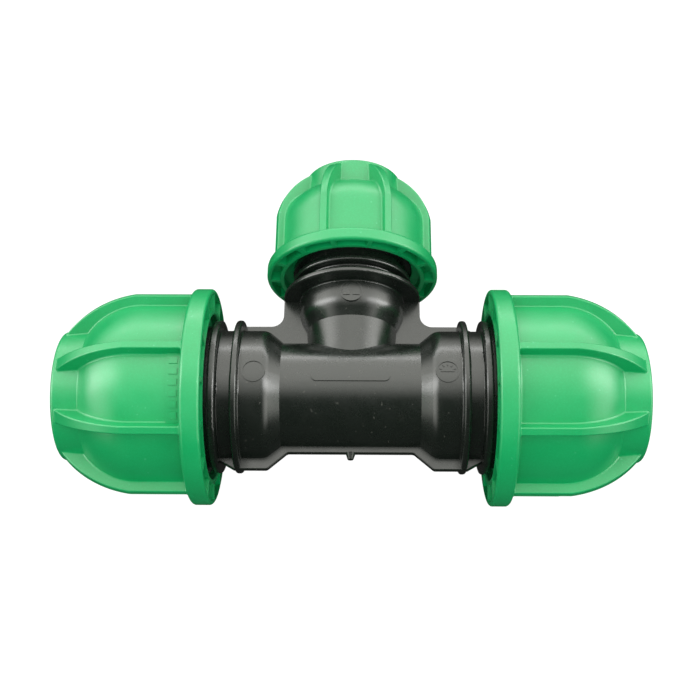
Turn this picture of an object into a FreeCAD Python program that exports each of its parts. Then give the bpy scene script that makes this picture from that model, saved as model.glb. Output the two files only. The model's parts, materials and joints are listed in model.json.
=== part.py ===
"""Reducing compression tee for polyethylene pipe: a 32 mm run with a 25 mm branch.

The origin is where the two flow axes cross. The run lies along X, the branch leaves
along +Y, and the flat webs of the body lie in the plane z = 0. Millimetres throughout.
"""

import FreeCAD, Part

import math
import os
from types import SimpleNamespace as Sizes

V = FreeCAD.Vector
AXIS = V(1, 0, 0)
UP = V(0, 0, 1)

# ---------------------------------------------------------------- driving dimensions
# Every station s is a distance from the origin along an outlet's own axis.

RUN = Sizes(
    pipe_r=16.0,            # the pipe that the outlet takes
    lead=6.0,               # nut thread, travel per turn
    tighten=4.0,            # how far the nut still screws in from the stored position
    # body, outside
    barrel_r=17.0,
    crossing_r=17.0,        # barrel radius where run and branch meet
    cone_s=21.5,
    hub_s=26.2,
    hub_r=20.9,
    shoulder_round=5.0,
    inner_bead_s=33.9,
    inner_bead_r=24.2,
    inner_bead_width=2.0,
    outer_bead_s=40.4,
    outer_bead_r=24.2,
    outer_bead_width=2.4,
    thread_root_r=22.3,
    mouth_s=62.0,
    # body, inside
    flow_r=12.8,
    stop_s=25.5,
    seat_s=52.0,
    seat_r=19.5,
    # thread ridges, on the body and in the nut
    ridge_base=3.2,
    ridge_crest=2.0,
    ridge_start_s=44.7,
    ridge_length=15.5,
    nut_ridge_length=13.0,
    # nut, outside
    flange_s=43.3,
    flange_width=6.0,
    flange_r=34.1,
    flange_bore_r=26.0,
    skirt_r=29.8,
    dome_s=64.3,
    collar_s=81.7,
    collar_r=21.1,
    collar_end_s=90.3,
    collar_end_r=20.3,
    rib_r=33.0,
    rib_width=2.4,
    rib_bend_s=66.8,
    rib_shoulder=(79.8, 28.3),
    rib_tip=(89.1, 20.2),
    # nut, inside
    thread_end_s=66.5,
    cone_in_s=69.2,
    cone_in_r=22.2,
    cone_out_s=86.0,
    cone_out_r=17.6,
    # pieces held inside
    bush_r=21.5,
    bush_flange=2.5,
    ring_length=16.0,
    slit=3.6,
    tooth_pitch=1.7,
    teeth=7,
)

BRANCH = Sizes(
    pipe_r=12.5,
    lead=5.0,
    tighten=3.0,
    barrel_r=14.5,
    crossing_r=12.7,
    cone_s=22.0,
    hub_s=26.6,
    hub_r=16.9,
    shoulder_round=9.0,
    inner_bead_s=33.3,
    inner_bead_r=22.3,
    inner_bead_width=1.9,
    outer_bead_s=39.0,
    outer_bead_r=19.5,
    outer_bead_width=2.0,
    thread_root_r=17.8,
    mouth_s=53.0,
    flow_r=9.8,
    stop_s=26.0,
    seat_s=44.0,
    seat_r=15.6,
    ridge_base=2.6,
    ridge_crest=1.7,
    ridge_start_s=42.5,
    ridge_length=9.0,
    nut_ridge_length=8.75,
    flange_s=41.6,
    flange_width=4.4,
    flange_r=28.2,
    flange_bore_r=22.4,
    skirt_r=25.2,
    dome_s=58.1,
    collar_s=70.5,
    collar_r=16.9,
    collar_end_s=79.1,
    collar_end_r=16.4,
    rib_r=27.3,
    rib_width=2.35,
    rib_bend_s=60.0,
    rib_shoulder=(70.3, 23.4),
    rib_tip=(78.0, 16.1),
    thread_end_s=57.0,
    cone_in_s=58.5,
    cone_in_r=17.9,
    cone_out_s=74.5,
    cone_out_r=13.9,
    bush_r=17.4,
    bush_flange=2.0,
    ring_length=14.0,
    slit=3.0,
    tooth_pitch=1.6,
    teeth=6,
)

RUNNING_GAP = 0.3           # between a nut and what it moves past
PIPE_GAP = 0.25             # the socket is this much wider than the pipe, all round
SEAL_PIPE_GAP = 0.1
RING_PIPE_GAP = 0.35
ENTRY_PIPE_GAP = 0.7
NUT_THREAD_ANGLE = 90.0     # where round the axis the nut's thread starts
RIBS = 8
POCKETS = 14
POCKET_DEPTH = 3.2
POCKET_WEB = 1.5
POCKET_OUTER_WALL = 1.3
POCKET_INNER_WALL = 1.5

WEB_THICKNESS = 2.0
WEB_EDGE_ROUND = 0.4
WEB_SIDE = 24.4             # outer edge of the webs beside the run hubs
WEB_UNDER = 19.05           # outer edge of the web under the run barrel
WEB_UNDER_HALF = 19.5
WEB_BRANCH_SIDE = 22.2      # outer edge of the webs beside the branch
WEB_CORNER_ROUND = 4.0
WEB_GUSSET_END = 21.5
WEB_BRANCH_GUSSET_END = 19.3
BARREL_FILLET = 1.5         # concave blend from the barrel down to the web
BEAD_ROUND = 0.7
BEAD_ROOT_ROUND = 0.5
LEAD_IN = 0.6               # chamfers at the socket and the mouth

BAR_LENGTH = 24.0           # raised bar on top of the barrel
BAR_WIDTH = 3.3
BAR_HEIGHT = 0.45
DIAL_S = 29.2               # round moulding marks on the hubs
DIAL_R = 3.6
DIAL_RIM = 0.5
DIAL_HEIGHT = 0.35
DIAL_FLOOR = 0.12
TICKS = 5
TABLET_WIDTH = 2.2
TABLET_LENGTH = 1.8
NUB_R = 1.6                 # cut gate under the barrel
NUB_TIP_R = 0.9
NUB_HEIGHT = 1.8

RIB_DRAFT = 4.0             # degrees that each flank of a rib leans
RIB_ROOT_ROUND = 0.6
CREST_ROUND = 0.4
FLANGE_STEP = 3.0           # depth of the wide bore at the flange
LABEL_WIDTH = 4.4
LABEL_HEIGHT = 0.4
LABEL_DASHES = 6
DASH_ANGLE = 3.6
DASH_MARGIN = 1.1
DASH_HEIGHT = 0.3

RIGHT, LEFT, BACK = 0.0, 180.0, 90.0    # turns about Z that aim an outlet

OUTLETS = [
    Sizes(name="run_right", size=RUN, turn=RIGHT, rib_angle=-5.4, label_ribs=3),
    Sizes(name="run_left", size=RUN, turn=LEFT, rib_angle=5.2, label_ribs=-1),
    Sizes(name="branch", size=BRANCH, turn=BACK, rib_angle=25.4, label_ribs=None),
]


# ---------------------------------------------------------------- small helpers
def aimed(shape, turn):
    """A shape made along +X, turned about Z to lie along its outlet."""
    placed = shape.copy()
    placed.rotate(V(0, 0, 0), UP, turn)
    return placed


def outward(solid):
    """The solid with its faces pointing outward."""
    if solid.Volume < 0:
        solid.reverse()
    return solid


def outline(corners):
    """Closed wire in the s, r half plane.

    Each corner is (s, r), (s, r, round) or (s, r, 0, via), where via is a point
    that the edge arriving at the corner passes through as an arc.
    """
    full = [tuple(corner) + (0,) * (3 - len(corner)) for corner in corners]
    edges = []
    leave = []
    arrive = []
    middle = []
    for index, corner in enumerate(full):
        here = V(corner[0], 0, corner[1])
        if not corner[2]:
            arrive.append(here)
            leave.append(here)
            middle.append(None)
            continue
        before = full[index - 1]
        after = full[(index + 1) % len(full)]
        back = (V(before[0], 0, before[1]) - here).normalize()
        ahead = (V(after[0], 0, after[1]) - here).normalize()
        half = back.getAngle(ahead) / 2
        reach = corner[2] / math.tan(half)
        inset = corner[2] / math.sin(half) - corner[2]
        arrive.append(here + back * reach)
        leave.append(here + ahead * reach)
        middle.append(here + (back + ahead).normalize() * inset)
    for index, corner in enumerate(full):
        start = leave[index - 1]
        end = arrive[index]
        if len(corner) > 3:
            via = V(corner[3][0], 0, corner[3][1])
            edges.append(Part.Arc(start, via, end).toShape())
        elif start.distanceToPoint(end) > 1e-6:
            edges.append(Part.makeLine(start, end))
        if middle[index] is not None:
            edges.append(Part.Arc(end, middle[index], leave[index]).toShape())
    return Part.Wire(Part.__sortEdges__(edges))


def turned(corners):
    """The solid that the outline sweeps round the X axis."""
    face = Part.Face(outline(corners))
    return outward(face.revolve(V(0, 0, 0), AXIS, 360))


def thread_ridge(base_r, crest_r, size, start_s, length, start_angle):
    """A right-handed helical ridge round the X axis, sunk a little into its wall."""
    sink = 0.4 if crest_r > base_r else -0.4
    base = size.ridge_base / 2
    crest = size.ridge_crest / 2
    slope = (base - crest) / abs(crest_r - base_r)
    foot = base + slope * abs(sink)
    corners = [
        V(base_r - sink, 0, -foot),
        V(crest_r, 0, -crest),
        V(crest_r, 0, crest),
        V(base_r - sink, 0, foot),
    ]
    profile = Part.makePolygon(corners + corners[:1])
    path = Part.Wire(Part.makeHelix(size.lead, length, base_r))
    ridge = outward(Part.Solid(path.makePipeShell([profile], True, True)))
    ridge.rotate(V(0, 0, 0), V(0, 0, 1), start_angle)
    ridge.rotate(V(0, 0, 0), V(0, 1, 0), 90)
    ridge.translate(AXIS * start_s)
    return ridge


def on_top(flat, radius):
    """A raised mark: the part of an upright prism that lies inside a given radius about X."""
    limit = Part.makeCylinder(radius, 200, V(-100, 0, 0), AXIS)
    return flat.common(limit)


# ---------------------------------------------------------------- body
def arm_outside(size):
    """One arm of the body as a solid of revolution, before the bores."""
    inner_end = size.inner_bead_s + size.inner_bead_width
    outer_end = size.outer_bead_s + size.outer_bead_width
    corners = [
        (0, 0),
        (0, size.crossing_r),
        (size.cone_s, size.barrel_r),
        (size.hub_s, size.hub_r, size.shoulder_round),
        (size.inner_bead_s, size.hub_r, BEAD_ROOT_ROUND),
        (size.inner_bead_s, size.inner_bead_r, BEAD_ROUND),
        (inner_end, size.inner_bead_r, BEAD_ROUND),
        (inner_end, size.hub_r, BEAD_ROOT_ROUND),
        (size.outer_bead_s, size.hub_r, BEAD_ROOT_ROUND),
        (size.outer_bead_s, size.outer_bead_r, BEAD_ROUND),
        (outer_end, size.outer_bead_r, BEAD_ROUND),
        (outer_end, size.thread_root_r),
        (size.mouth_s, size.thread_root_r, 0.8),
        (size.mouth_s, 0),
    ]
    return turned(corners)


def arm_bore(size):
    """What is hollow in one arm: flow bore, pipe socket and seal seat."""
    socket_r = size.pipe_r + PIPE_GAP
    corners = [
        (0, 0),
        (0, size.flow_r),
        (size.stop_s, size.flow_r),
        (size.stop_s, socket_r),
        (size.seat_s - LEAD_IN, socket_r),
        (size.seat_s, socket_r + LEAD_IN),
        (size.seat_s, size.seat_r),
        (size.mouth_s - LEAD_IN, size.seat_r),
        (size.mouth_s, size.seat_r + LEAD_IN),
        (size.mouth_s + 1, size.seat_r + LEAD_IN),
        (size.mouth_s + 1, 0),
    ]
    return turned(corners)


def web_outline():
    """Half of the flat web, right side, from under the barrel round to the branch top."""
    run_bead_end = RUN.inner_bead_s + RUN.inner_bead_width
    branch_bead_end = BRANCH.inner_bead_s + BRANCH.inner_bead_width
    run_end = RUN.outer_bead_s + 0.5
    branch_end = BRANCH.outer_bead_s + 0.5
    slope_end = WEB_UNDER_HALF + (WEB_SIDE - WEB_UNDER) * 1.15
    return [
        (WEB_UNDER_HALF, -WEB_UNDER, 1.5),
        (slope_end, -WEB_SIDE, 1.5),
        (run_bead_end, -WEB_SIDE),
        (run_end, -WEB_GUSSET_END),
        (run_end, WEB_GUSSET_END),
        (run_bead_end, WEB_SIDE),
        (WEB_BRANCH_SIDE, WEB_SIDE, WEB_CORNER_ROUND),
        (WEB_BRANCH_SIDE, branch_bead_end),
        (WEB_BRANCH_GUSSET_END, branch_end),
    ]


def web():
    """The flat web in the parting plane, both halves, with rounded edges."""
    right = web_outline()
    left = [(-corner[0],) + corner[1:] for corner in reversed(right)]
    wire = outline(right + left)
    plate = Part.Face(wire).extrude(V(0, WEB_THICKNESS, 0))
    plate.rotate(V(0, 0, 0), AXIS, -90)
    plate.translate(V(0, 0, WEB_THICKNESS / 2))
    rims = [edge for edge in plate.Edges if abs(edge.BoundBox.ZLength) < 1e-6]
    return plate.makeFillet(WEB_EDGE_ROUND, rims)


def blends():
    """Concave blends between the run barrel and the branch side web, on both faces of it."""
    half = WEB_THICKNESS / 2
    length = 2 * RUN.cone_s
    start = -RUN.cone_s
    reach = RUN.barrel_r + BARREL_FILLET
    centre_z = half + BARREL_FILLET
    centre_y = math.sqrt(reach ** 2 - centre_z ** 2)
    centre = V(start, centre_y, centre_z)
    foot = V(start, centre_y, half)
    share = RUN.barrel_r / reach
    top = V(start, centre_y * share, centre_z * share)
    toward_middle = ((foot - centre).normalize() + (top - centre).normalize()).normalize()
    edges = [
        Part.makeLine(V(start, 0, 0), V(start, centre_y, 0)),
        Part.makeLine(V(start, centre_y, 0), foot),
        Part.Arc(foot, centre + toward_middle * BARREL_FILLET, top).toShape(),
        Part.makeLine(top, V(start, 0, 0)),
    ]
    upper = Part.Face(Part.Wire(edges)).extrude(V(length, 0, 0))
    lower = upper.mirror(V(0, 0, 0), UP)
    return [upper, lower]


def slot_prism(length, width, low, high):
    """An upright prism with rounded ends, centred on the origin and long in X."""
    straight = length - width
    bar = Part.makeBox(straight, width, high - low, V(-straight / 2, -width / 2, low))
    for side in (-1, 1):
        end = Part.makeCylinder(width / 2, high - low, V(side * straight / 2, 0, low))
        bar = bar.fuse(end)
    return bar.removeSplitter()


def dial(hub_r, low, high):
    """A round moulding mark on a hub: a low disc with a raised rim."""
    centre = V(DIAL_S, 0, low)
    disc = on_top(Part.makeCylinder(DIAL_R, high - low, centre), hub_r + DIAL_FLOOR)
    rim = Part.makeCylinder(DIAL_R, high - low, centre)
    rim = rim.cut(Part.makeCylinder(DIAL_R - DIAL_RIM, high - low, centre))
    return [disc, on_top(rim, hub_r + DIAL_HEIGHT)]


def raised_marks():
    """Raised bar on the barrel and plain moulding marks on the hubs."""
    low, high = 12.0, 30.0
    run_top = RUN.hub_r + DIAL_HEIGHT
    branch_top = BRANCH.hub_r + DIAL_HEIGHT
    marks = [on_top(slot_prism(BAR_LENGTH, BAR_WIDTH, low, high), RUN.barrel_r + BAR_HEIGHT)]
    marks += [aimed(mark, LEFT) for mark in dial(RUN.hub_r, low, high)]
    marks += dial(RUN.hub_r, low, high)
    marks += [aimed(mark, BACK) for mark in dial(BRANCH.hub_r, low, high)]
    pointer = slot_prism(DIAL_R * 1.2, 0.6, low, high)
    pointer.translate(V(DIAL_S, 0, 0))
    marks.append(on_top(pointer, run_top))
    for index in range(TICKS):
        tick = Part.makeBox(0.9, 0.35, high - low, V(DIAL_R - 1.9, -0.175, low))
        tick.rotate(V(0, 0, 0), UP, 180 * (index + 0.5) / TICKS)
        tick.translate(V(DIAL_S, 0, 0))
        marks.append(on_top(tick, run_top))
    for side in (-1, 1):
        corner = V(DIAL_S - 1.4, (side * 1.5) - TABLET_WIDTH / 2, low)
        tablet = Part.makeBox(TABLET_LENGTH, TABLET_WIDTH, high - low, corner)
        marks.append(aimed(on_top(tablet, branch_top), BACK))
    return marks


def gate_nub():
    """The stub left where the moulding gate was cut, under the barrel."""
    sunk = 0.3
    return Part.makeCone(NUB_R, NUB_TIP_R, NUB_HEIGHT + sunk, V(0, sunk - WEB_UNDER, 0), V(0, -1, 0))


def tee_body():
    """The black moulding, with its three threaded mouths."""
    arms = [aimed(arm_outside(outlet.size), outlet.turn) for outlet in OUTLETS]
    solid = arms[0].fuse(arms[1:] + [web()] + blends() + raised_marks() + [gate_nub()])
    bores = [aimed(arm_bore(outlet.size), outlet.turn) for outlet in OUTLETS]
    solid = solid.cut(bores[0].fuse(bores[1:])).removeSplitter()
    for outlet in OUTLETS:
        size = outlet.size
        ridge = thread_ridge(
            size.thread_root_r, size.outer_bead_r, size, size.ridge_start_s, size.ridge_length, 0
        )
        solid = solid.fuse(aimed(ridge, outlet.turn))
    return solid


# ---------------------------------------------------------------- nut
def tangent_via(start, end):
    """The middle of the arc that leaves start along +s and reaches end."""
    run = end[0] - start[0]
    drop = start[1] - end[1]
    radius = (run ** 2 + drop ** 2) / (2 * drop)
    half = math.asin(run / radius) / 2
    return (start[0] + radius * math.sin(half), start[1] - radius * (1 - math.cos(half)))


def nut_shell(size):
    """Flange, skirt, dome and collar in one turned shape, hollow inside."""
    thread_r = size.outer_bead_r + RUNNING_GAP
    entry_r = size.pipe_r + ENTRY_PIPE_GAP
    flange_end = size.flange_s + size.flange_width
    dome = (size.dome_s, size.skirt_r)
    collar = (size.collar_s, size.collar_r)
    step_s = size.flange_s + FLANGE_STEP
    return turned([
        (size.flange_s, size.flange_bore_r, 0.5),
        (size.flange_s, size.flange_r, 0.9),
        (flange_end, size.flange_r, 1.2),
        (flange_end, size.skirt_r, 1.0),
        dome,
        collar + (0, tangent_via(dome, collar)),
        (size.collar_end_s, size.collar_end_r, 1.0),
        (size.collar_end_s, entry_r, 0.9),
        (size.cone_out_s, entry_r),
        (size.cone_out_s, size.cone_out_r),
        (size.cone_in_s, size.cone_in_r),
        (size.thread_end_s + 1, size.cone_in_r),
        (size.thread_end_s, thread_r),
        (step_s + 0.5, thread_r),
        (step_s - 0.5, size.flange_bore_r),
    ])


def rib(size):
    """One rib, standing up from the skirt and running out on the collar."""
    tip_s, tip_r = size.rib_tip
    root_r = (size.outer_bead_r + size.skirt_r) / 2
    start_s = size.flange_s + size.flange_width / 2
    outer = outline([
        (start_s, root_r),
        (start_s, size.rib_r),
        (size.rib_bend_s, size.rib_r),
        (tip_s, tip_r, 0, size.rib_shoulder),
        (tip_s, tip_r - 1),
        (size.collar_s, size.collar_r - 1),
        (size.dome_s, root_r),
    ])
    width = 2 * size.rib_width
    plate = Part.Face(outer).extrude(V(0, width, 0))
    plate.translate(V(0, -width / 2, 0))
    lean = math.tan(math.radians(RIB_DRAFT))
    foot = size.rib_width / 2 + lean * size.rib_r
    wedge = Part.makePolygon([
        V(0, -foot, 0),
        V(0, foot, 0),
        V(0, size.rib_width / 2, size.rib_r),
        V(0, -size.rib_width / 2, size.rib_r),
        V(0, -foot, 0),
    ])
    plate = plate.common(Part.Face(wedge).extrude(V(tip_s + 1, 0, 0)))
    crests = []
    for edge in plate.Edges:
        box = edge.BoundBox
        outermost = box.ZMin > size.rib_tip[1] - 0.1 and box.ZMax > size.rib_tip[1] + 1
        if outermost and box.XLength > 5:
            crests.append(edge)
    return plate.makeFillet(CREST_ROUND, crests)


def ribs(size, first_angle):
    """All the ribs, evenly spaced round the axis."""
    one = rib(size)
    copies = []
    for index in range(RIBS):
        copy = one.copy()
        copy.rotate(V(0, 0, 0), AXIS, first_angle + index * 360 / RIBS)
        copies.append(copy)
    return copies


def pockets(size):
    """The lightening pockets in the flange face that looks at the body."""
    outer_r = size.flange_r - POCKET_OUTER_WALL
    inner_r = size.flange_bore_r + POCKET_INNER_WALL
    start = V(size.flange_s - 1, 0, 0)
    depth = POCKET_DEPTH + 1
    ring = Part.makeCylinder(outer_r, depth, start, AXIS)
    ring = ring.cut(Part.makeCylinder(inner_r, depth, start, AXIS))
    webs = []
    for index in range(POCKETS):
        bar = Part.makeBox(depth, POCKET_WEB, outer_r + 1, start - V(0, POCKET_WEB / 2, 0))
        bar.rotate(V(0, 0, 0), AXIS, (index + 0.5) * 360 / POCKETS)
        webs.append(bar)
    return ring.cut(webs)


def lies_on(shape, edge):
    """Whether an edge runs along a shape's surface."""
    first = edge.FirstParameter
    length = edge.LastParameter - first
    points = [edge.valueAt(first + length * share) for share in (0.2, 0.5, 0.8)]
    return all(shape.distToShape(Part.Vertex(point))[0] < 1e-3 for point in points)


def ribbed_shell(size, first_angle):
    """The turned shell with its ribs, filleted at the rib roots and the foot of the collar."""
    shell = nut_shell(size)
    standing = ribs(size, first_angle)
    joined = shell.fuse(standing)
    skirt_from = size.flange_s + size.flange_width - 0.01
    inner_limit = size.collar_r * 0.6
    rounds = []
    for edge in joined.Edges:
        box = edge.BoundBox
        if box.XMin < skirt_from:
            continue
        at_collar = max(abs(box.XMin - size.collar_s), abs(box.XMax - size.collar_s)) < 1e-3
        outside = max(box.ZMax, box.YMax, -box.ZMin, -box.YMin) > inner_limit
        root = lies_on(shell, edge) and any(lies_on(one, edge) for one in standing)
        if root or (at_collar and outside):
            rounds.append(edge)
    return joined.makeFillet(RIB_ROOT_ROUND, rounds)


def swept_band(start_s, end_s, inner_r, outer_r, middle_angle, span):
    """A band wrapped part of the way round the axis, for raised areas on the skirt."""
    face = Part.Face(outline([
        (start_s, inner_r),
        (start_s, outer_r),
        (end_s, outer_r),
        (end_s, inner_r),
    ]))
    face.rotate(V(0, 0, 0), AXIS, middle_angle - span / 2)
    return outward(face.revolve(V(0, 0, 0), AXIS, span))


def label(size, middle_angle):
    """A raised panel beside the flange between two ribs, with a row of plain dashes on it."""
    span = 360 / RIBS
    flange_end = size.flange_s + size.flange_width
    end_s = flange_end + LABEL_WIDTH
    sunk_r = size.skirt_r - 1
    face_r = size.skirt_r + LABEL_HEIGHT
    pieces = [swept_band(flange_end - 1, end_s, sunk_r, face_r, middle_angle, span)]
    pitch = (span - 8) / LABEL_DASHES
    for index in range(LABEL_DASHES):
        angle = middle_angle + (index - (LABEL_DASHES - 1) / 2) * pitch
        start_s = flange_end + DASH_MARGIN
        pieces.append(swept_band(
            start_s, end_s - DASH_MARGIN + 0.3, sunk_r, face_r + DASH_HEIGHT, angle, DASH_ANGLE
        ))
    return pieces


def nut(outlet):
    """The green nut: shell, ribs, flange pockets and inner thread."""
    size = outlet.size
    solid = ribbed_shell(size, outlet.rib_angle)
    if outlet.label_ribs is not None:
        middle_angle = outlet.rib_angle + 360 / RIBS * (outlet.label_ribs + 0.5)
        solid = solid.fuse(label(size, middle_angle))
    solid = solid.cut(pockets(size)).removeSplitter()
    shift = size.lead * (0.5 + NUT_THREAD_ANGLE / 360)
    ridge = thread_ridge(
        size.outer_bead_r + RUNNING_GAP,
        size.thread_root_r + RUNNING_GAP,
        size,
        size.ridge_start_s + shift,
        size.nut_ridge_length,
        NUT_THREAD_ANGLE,
    )
    return aimed(solid.fuse(ridge), outlet.turn)


# ---------------------------------------------------------------- pieces held inside
def seal_section_r(size):
    """Radius of the seal's round section, which fills its seat."""
    return (size.seat_r - size.pipe_r - 2 * SEAL_PIPE_GAP) / 2


def seal_end_s(size):
    """How far out along the axis the seal reaches."""
    return size.seat_s + 0.05 + 2 * seal_section_r(size)


def seal(outlet):
    """The O-ring in its seat at the mouth of the socket."""
    size = outlet.size
    section = seal_section_r(size)
    middle_r = size.pipe_r + SEAL_PIPE_GAP + section
    middle_s = seal_end_s(size) - section
    ring = Part.makeTorus(middle_r, section, V(middle_s, 0, 0), AXIS)
    return aimed(ring, outlet.turn)


def bush_stations(size):
    """Where the bush's nose, flange and back face lie along the axis."""
    nose_s = seal_end_s(size) + 0.15 + size.tighten
    flange_s = size.mouth_s + RUNNING_GAP + size.tighten
    return nose_s, flange_s, flange_s + size.bush_flange


def bush(outlet):
    """The pressure bush: a nose that enters the seat, and a flange the grip ring pushes on."""
    size = outlet.size
    nose_s, flange_s, back_s = bush_stations(size)
    inner_r = size.pipe_r + RING_PIPE_GAP
    nose_r = size.seat_r - RUNNING_GAP - 0.1
    ring = turned([
        (nose_s, inner_r, 0.3),
        (nose_s, nose_r, 0.5),
        (flange_s, nose_r),
        (flange_s, size.bush_r, 0.4),
        (back_s, size.bush_r, 0.4),
        (back_s, inner_r, 0.6),
    ])
    return aimed(ring, outlet.turn)


def grip_ring(outlet):
    """The split grip ring: a cone outside, saw teeth inside, and one slit through it."""
    size = outlet.size
    start_s = bush_stations(size)[2] + 0.1
    end_s = start_s + size.ring_length
    slope = (size.cone_in_r - size.cone_out_r) / (size.cone_out_s - size.cone_in_s)
    start_r = size.cone_in_r - max(start_s - size.cone_in_s, 0) * slope - RUNNING_GAP
    end_r = size.cone_in_r - (end_s - size.cone_in_s) * slope - RUNNING_GAP
    tip_r = size.pipe_r + RING_PIPE_GAP
    root_r = tip_r + 0.7
    corners = [
        (start_s, start_r, 0.3),
        (end_s, end_r, 0.2),
        (end_s, tip_r + 0.1),
    ]
    for index in reversed(range(size.teeth)):
        tooth_s = start_s + 1 + index * size.tooth_pitch
        corners.append((tooth_s + size.tooth_pitch - 0.2, tip_r))
        corners.append((tooth_s + size.tooth_pitch - 0.4, tip_r))
        corners.append((tooth_s, root_r))
    corners.append((start_s, root_r))
    ring = turned(corners)
    slit = Part.makeBox(size.ring_length + 2, size.slit, size.cone_in_r + 2)
    slit.translate(V(start_s - 1, -size.slit / 2, 0))
    return aimed(ring.cut(slit), outlet.turn)


# ---------------------------------------------------------------- build
def main():
    os.makedirs("parts", exist_ok=True)
    parts = {"tee_body": tee_body()}
    for outlet in OUTLETS:
        parts[outlet.name + "_nut"] = nut(outlet)
        parts[outlet.name + "_grip_ring"] = grip_ring(outlet)
        parts[outlet.name + "_bush"] = bush(outlet)
        parts[outlet.name + "_seal"] = seal(outlet)
    for name, shape in parts.items():
        shape.exportStep("parts/" + name + ".step")
        print(name, "solids", len(shape.Solids), "valid", shape.isValid(), "volume", round(shape.Volume))


main()
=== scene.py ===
"""Looks for the reducing compression tee: materials, light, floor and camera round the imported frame."""

import json
import math

import bpy
from mathutils import Matrix, Vector


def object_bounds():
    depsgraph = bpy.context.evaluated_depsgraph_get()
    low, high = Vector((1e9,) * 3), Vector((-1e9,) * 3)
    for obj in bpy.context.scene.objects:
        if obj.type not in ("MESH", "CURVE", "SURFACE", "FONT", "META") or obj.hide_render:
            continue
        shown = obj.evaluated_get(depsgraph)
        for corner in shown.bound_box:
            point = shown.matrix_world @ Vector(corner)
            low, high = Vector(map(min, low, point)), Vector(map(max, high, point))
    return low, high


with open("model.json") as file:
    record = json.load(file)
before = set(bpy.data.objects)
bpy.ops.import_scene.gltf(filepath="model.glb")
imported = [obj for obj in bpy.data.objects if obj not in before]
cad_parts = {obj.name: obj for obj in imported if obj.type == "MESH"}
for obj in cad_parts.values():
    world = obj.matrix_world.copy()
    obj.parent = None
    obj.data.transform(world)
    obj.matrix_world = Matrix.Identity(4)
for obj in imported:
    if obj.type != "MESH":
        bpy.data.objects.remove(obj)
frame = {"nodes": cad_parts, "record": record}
cad_low, cad_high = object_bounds()


# ---------------------------------------------------------------- node helpers
class Shader:
    """A node material with one Principled shader, and short ways to add nodes to it."""

    def __init__(self, name):
        self.material = bpy.data.materials.new(name)
        self.material.use_nodes = True
        self.tree = self.material.node_tree
        self.principled = self.tree.nodes["Principled BSDF"]
        self.place = self.add("ShaderNodeTexCoord").outputs["Object"]

    def add(self, kind, links=None, **settings):
        node = self.tree.nodes.new(kind)
        for key, value in settings.items():
            setattr(node, key, value)
        for key, source in (links or {}).items():
            if isinstance(source, bpy.types.NodeSocket):
                self.tree.links.new(source, node.inputs[key])
            else:
                node.inputs[key].default_value = source
        return node

    def noise(self, scale, detail=3.0, roughness=0.5):
        links = {"Vector": self.place, "Scale": scale, "Detail": detail, "Roughness": roughness}
        return self.add("ShaderNodeTexNoise", links).outputs["Fac"]

    def ramp(self, source, low, high, to_low=0.0, to_high=1.0):
        links = {"Value": source, "From Min": low, "From Max": high, "To Min": to_low, "To Max": to_high}
        return self.add("ShaderNodeMapRange", links).outputs["Result"]

    def mix(self, factor, first, second):
        node = self.add("ShaderNodeMix", data_type="RGBA")
        for index, source in ((0, factor), (6, first), (7, second)):
            if isinstance(source, bpy.types.NodeSocket):
                self.tree.links.new(source, node.inputs[index])
            else:
                node.inputs[index].default_value = source
        return node.outputs[2]

    def bump(self, height, distance, normal=None):
        links = {"Height": height, "Distance": distance, "Strength": 1.0}
        if normal is not None:
            links["Normal"] = normal
        return self.add("ShaderNodeBump", links).outputs["Normal"]

    def feed(self, name, source):
        if isinstance(source, bpy.types.NodeSocket):
            self.tree.links.new(source, self.principled.inputs[name])
        else:
            self.principled.inputs[name].default_value = source


# Noise scales, in features per metre.
SINK_SCALE = 70.0
CLOUD_SCALE = 38.0
GLOSS_SCALE = 150.0
SCUFF_SCALE = 230.0
COARSE_GRAIN_SCALE = 420.0
DUST_SCALE = 900.0
FINE_GRAIN_SCALE = 1500.0
SPECK_SCALE = 1900.0
SPECK_AMOUNT = 0.3
SCUFF_AMOUNT = 0.03


def moulded(name, tones, gloss, grain, specular=0.5, dust=0.0):
    """Injection-moulded plastic: cloudy colour, speckle, dust, scuffs, soft grain and uneven gloss.

    The tones run from dark to pale, and grain is the height of the surface texture in metres.
    """
    dark, mid, light, pale = [tone + (1,) for tone in tones]
    s = Shader(name)
    cloud = s.ramp(s.noise(CLOUD_SCALE, 4.0), 0.35, 0.65)
    speck = s.ramp(s.noise(SPECK_SCALE, 2.0), 0.45, 0.66, 0.0, SPECK_AMOUNT)
    colour = s.mix(speck, s.mix(cloud, dark, mid), light)
    scuffs = s.ramp(s.noise(SCUFF_SCALE, 6.0, 0.75), 0.60, 0.72, 0.0, SCUFF_AMOUNT)
    colour = s.mix(scuffs, colour, pale)
    if dust:
        grains = s.ramp(s.noise(DUST_SCALE, 0.0), 0.81, 0.84, 0.0, dust)
        colour = s.mix(grains, colour, pale)
    s.feed("Base Color", colour)
    uneven = s.ramp(s.noise(GLOSS_SCALE, 5.0, 0.6), 0.3, 0.7, gloss - 0.04, gloss + 0.06)
    s.feed("Roughness", uneven)
    sink = s.bump(s.noise(SINK_SCALE, 2.0), grain * 5.0)
    coarse = s.bump(s.noise(COARSE_GRAIN_SCALE, 3.0), grain * 0.8, sink)
    s.feed("Normal", s.bump(s.noise(FINE_GRAIN_SCALE, 3.0, 0.6), grain * 0.5, coarse))
    s.feed("Specular IOR Level", specular)
    return s.material


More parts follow.
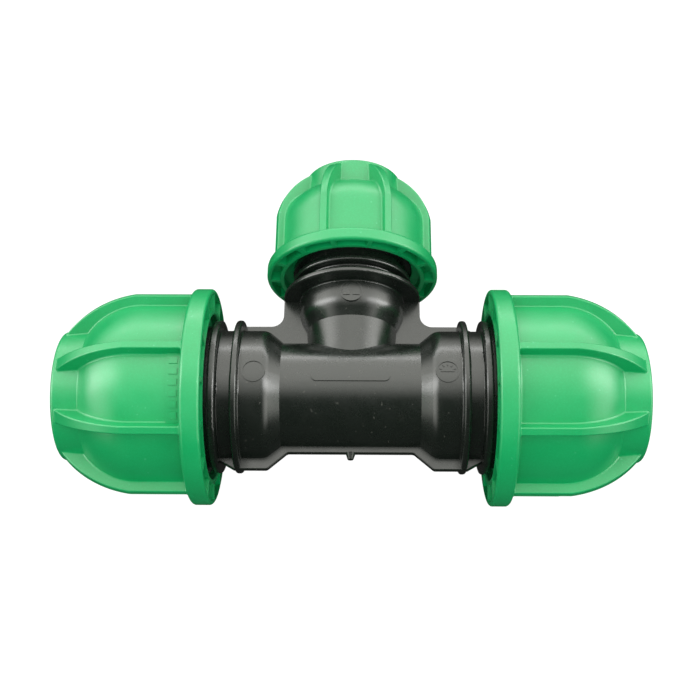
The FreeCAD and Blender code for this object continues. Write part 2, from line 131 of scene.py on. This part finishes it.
# ---------------------------------------------------------------- materials
# Each plastic has four tones, from the cloudy base up to its dust and scuffs.
BLACK = (
    (0.0050, 0.0080, 0.0060),
    (0.0070, 0.0105, 0.0080),
    (0.013, 0.018, 0.014),
    (0.16, 0.16, 0.14),
)
GREEN = (
    (0.0015, 0.315, 0.088),
    (0.002, 0.355, 0.104),
    (0.006, 0.420, 0.145),
    (0.14, 0.58, 0.34),
)
WHITE = (
    (0.76, 0.76, 0.72),
    (0.82, 0.82, 0.78),
    (0.88, 0.88, 0.86),
    (0.70, 0.69, 0.64),
)
DARK_GREY = (
    (0.014, 0.014, 0.015),
    (0.020, 0.020, 0.021),
    (0.030, 0.030, 0.030),
    (0.15, 0.15, 0.14),
)
RUBBER = (
    (0.007, 0.007, 0.007),
    (0.011, 0.011, 0.011),
    (0.018, 0.018, 0.018),
    (0.10, 0.10, 0.10),
)

MATERIALS = {
    "body_plastic": moulded("black_polypropylene", BLACK, 0.26, 0.00001, specular=1.0, dust=0.22),
    "nut_plastic": moulded("green_polypropylene", GREEN, 0.34, 0.00001, specular=0.85, dust=0.25),
    "ring_plastic": moulded("white_acetal", WHITE, 0.30, 0.000006),
    "bush_plastic": moulded("black_bush", DARK_GREY, 0.42, 0.000008),
    "seal_rubber": moulded("black_rubber", RUBBER, 0.62, 0.000015, specular=0.4),
}

for part in frame["record"]["subparts"]:
    node = frame["nodes"][part["node"]]
    node.data.materials.clear()
    node.data.materials.append(MATERIALS[part["material_slot"]])


# ---------------------------------------------------------------- camera
AZIMUTH = math.radians(2.07)
ELEVATION = math.radians(65.23)
ROLL = math.radians(-1.69)
DISTANCE = 0.35265      # from the part's origin, metres
LENS = 57.23            # focal length on a 36 mm sensor
SENSOR_WIDTH = 36.0
AIM_RIGHT = -0.00035    # how far the camera is shifted sideways and up, metres
AIM_UP = 0.01495


def camera_axes():
    """The camera's right, up and back directions in the part's frame."""
    back = Vector((
        math.sin(AZIMUTH) * math.cos(ELEVATION),
        -math.cos(AZIMUTH) * math.cos(ELEVATION),
        math.sin(ELEVATION),
    ))
    level = Vector((0, 0, 1)).cross(back).normalized()
    over = back.cross(level)
    right = level * math.cos(ROLL) + over * math.sin(ROLL)
    up = over * math.cos(ROLL) - level * math.sin(ROLL)
    return right, up, back


def make_camera():
    right, up, back = camera_axes()
    data = bpy.data.cameras.new("camera")
    data.sensor_width = SENSOR_WIDTH
    data.lens = LENS
    data.clip_start = 0.01
    data.clip_end = 20.0
    camera = bpy.data.objects.new("camera", data)
    bpy.context.scene.collection.objects.link(camera)
    place = back * DISTANCE + right * AIM_RIGHT + up * AIM_UP
    turn = Matrix((right, up, back)).transposed().to_4x4()
    camera.matrix_world = Matrix.Translation(place) @ turn
    bpy.context.scene.camera = camera


make_camera()


# ---------------------------------------------------------------- floor and light
FLOOR_HALF = 3.0
FLOOR_DROP = 0.0002     # keeps the floor just clear of the part
FLOOR_GLOW = 0.96
SKY_TOP = 2.1
SKY_SIDE = 2.2
SKY_DIM = 0.03
SKY_WARMTH = (1.0, 1.0, 0.94, 1)
SKY_CENTRE = (0.0, 0.643, 0.766)    # up and behind, 50 degrees above the horizon


def make_floor():
    """A wide pale floor under the fitting, glowing like a light table, so it shows no shadow."""
    mesh = bpy.data.meshes.new("floor")
    signs = ((-1, -1), (1, -1), (1, 1), (-1, 1))
    corners = [(x * FLOOR_HALF, y * FLOOR_HALF, 0) for x, y in signs]
    mesh.from_pydata(corners, [], [(0, 1, 2, 3)])
    floor = bpy.data.objects.new("floor", mesh)
    floor.location.z = cad_low.z - FLOOR_DROP
    bpy.context.scene.collection.objects.link(floor)
    s = Shader("pale_floor")
    s.feed("Base Color", (0.12, 0.12, 0.12, 1))
    s.feed("Roughness", 0.9)
    s.feed("Emission Color", (1, 1, 1, 1))
    s.feed("Emission Strength", FLOOR_GLOW)
    mesh.materials.append(s.material)
    floor.visible_glossy = False
    floor.visible_diffuse = False
    floor.visible_shadow = False


def ramp_node(tree, source, low, high, to_low, to_high):
    node = tree.nodes.new("ShaderNodeMapRange")
    node.interpolation_type = "SMOOTHSTEP"
    for key, value in (("From Min", low), ("From Max", high), ("To Min", to_low), ("To Max", to_high)):
        node.inputs[key].default_value = value
    tree.links.new(source, node.inputs["Value"])
    return node.outputs["Result"]


def maths_node(tree, operation, first, second=None):
    node = tree.nodes.new("ShaderNodeMath")
    node.operation = operation
    tree.links.new(first, node.inputs[0])
    if second is not None:
        tree.links.new(second, node.inputs[1])
    return node.outputs["Value"]


def make_sky():
    """Soft surrounding light: bright above, behind and at the sides, and plain white to the camera."""
    world = bpy.data.worlds.new("studio")
    world.use_nodes = True
    tree = world.node_tree
    place = tree.nodes.new("ShaderNodeTexCoord").outputs["Generated"]
    facing = tree.nodes.new("ShaderNodeVectorMath")
    facing.operation = "DOT_PRODUCT"
    facing.inputs[1].default_value = Vector(SKY_CENTRE)
    tree.links.new(place, facing.inputs[0])
    split = tree.nodes.new("ShaderNodeSeparateXYZ")
    tree.links.new(place, split.inputs[0])
    overhead = ramp_node(tree, facing.outputs["Value"], 0.35, 1.0, SKY_DIM, SKY_TOP)
    aside = ramp_node(tree, maths_node(tree, "ABSOLUTE", split.outputs["X"]), 0.50, 0.90, 0.0, SKY_SIDE)
    above_floor = ramp_node(tree, split.outputs["Z"], -0.10, 0.20, 0.0, 1.0)
    sides = maths_node(tree, "MULTIPLY", aside, above_floor)
    strength = maths_node(tree, "ADD", overhead, sides)
    background = tree.nodes["Background"]
    background.inputs["Color"].default_value = SKY_WARMTH
    tree.links.new(strength, background.inputs["Strength"])
    backdrop = tree.nodes.new("ShaderNodeBackground")
    backdrop.inputs["Color"].default_value = (1, 1, 1, 1)
    seen = tree.nodes.new("ShaderNodeMixShader")
    tree.links.new(tree.nodes.new("ShaderNodeLightPath").outputs["Is Camera Ray"], seen.inputs[0])
    tree.links.new(background.outputs[0], seen.inputs[1])
    tree.links.new(backdrop.outputs[0], seen.inputs[2])
    tree.links.new(seen.outputs[0], tree.nodes["World Output"].inputs["Surface"])
    bpy.context.scene.world = world


def area_light(name, place, aim, size, power, mirrored=False):
    """A soft rectangular lamp that either lights the colours or shows only as a highlight."""
    data = bpy.data.lights.new(name, "AREA")
    data.shape = "RECTANGLE"
    data.size, data.size_y = size
    data.energy = power
    lamp = bpy.data.objects.new(name, data)
    lamp.location = place
    lamp.rotation_euler = (Vector(aim) - Vector(place)).to_track_quat("-Z", "Y").to_euler()
    lamp.visible_glossy = mirrored
    lamp.visible_diffuse = not mirrored
    bpy.context.scene.collection.objects.link(lamp)


make_floor()
make_sky()
area_light("key_fill", (0.0, -0.6, 0.85), (0, 0, 0), (1.2, 0.8), 7.2)
area_light("front_fill", (0.0, -0.9, 0.0), (0, 0, 0), (1.6, 0.6), 0.7)
area_light("under_fill", (0.0, -0.35, -0.5), (0, 0, 0), (1.2, 0.8), 1.4)
area_light("back_strip", (0.0, 0.8, 0.30), (0, 0, 0), (1.6, 0.08), 2.0, mirrored=True)
area_light("left_strip", (-0.8, 0.1, 0.50), (0, 0, 0), (0.25, 0.9), 3.2, mirrored=True)
area_light("right_strip", (0.8, 0.1, 0.50), (0, 0, 0), (0.25, 0.9), 3.2, mirrored=True)

bpy.context.scene.view_settings.view_transform = "Standard"
